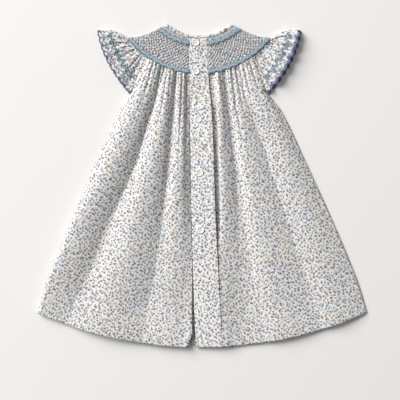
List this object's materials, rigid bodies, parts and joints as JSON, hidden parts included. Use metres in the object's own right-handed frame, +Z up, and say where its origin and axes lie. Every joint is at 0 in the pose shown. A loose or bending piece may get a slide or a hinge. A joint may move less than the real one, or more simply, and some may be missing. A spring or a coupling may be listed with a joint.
{
  "type": "smocked dress",
  "caption": "Toddler's smocked bishop dress in floral lawn with scalloped flutter sleeves and a full-length button placket, laid flat.",
  "frame": {"origin": "on the surface that the dress lies on, under the middle of its outline", "axes": "+X across the dress towards the picture's right, +Y from hem to neck, +Z up, out of the buttoned side"},
  "size_m": [0.4944, 0.4838, 0.0145],
  "materials": {
    "printed_lawn": "off-white cotton lawn with a small floral print in blue, lilac, yellow, peach and sage",
    "smocked_lawn": "the same lawn, finely pleated and smocked into diamond cells",
    "pale_blue_thread": "stranded cotton, sky blue, soft sheen",
    "teal_thread": "stranded cotton, teal blue, soft sheen",
    "indigo_thread": "stranded cotton, indigo, satin-stitched edge",
    "pearl_button": "off-white, pearly gloss"
  },
  "bodies": {
    "root": {"skirt_back": "printed_lawn", "skirt_front_left": "printed_lawn", "skirt_front_right": "printed_lawn", "neck_band_back": "printed_lawn", "neck_band_left": "printed_lawn", "neck_band_right": "printed_lawn", "placket_under": "printed_lawn", "placket_over": "printed_lawn", "sleeve_left": "printed_lawn", "sleeve_right": "printed_lawn", "yoke_back": "smocked_lawn", "yoke_front_left": "smocked_lawn", "yoke_front_right": "smocked_lawn", "neck_cable_left": "pale_blue_thread", "neck_cable_right": "pale_blue_thread", "yoke_cable_left": "teal_thread", "yoke_cable_right": "teal_thread", "sleeve_wave_left": "teal_thread", "sleeve_wave_right": "teal_thread", "sleeve_edge_left": "indigo_thread", "sleeve_edge_right": "indigo_thread", "button_1": "pearl_button", "button_2": "pearl_button", "button_3": "pearl_button", "button_4": "pearl_button", "button_5": "pearl_button"}
  },
  "joints": []
}
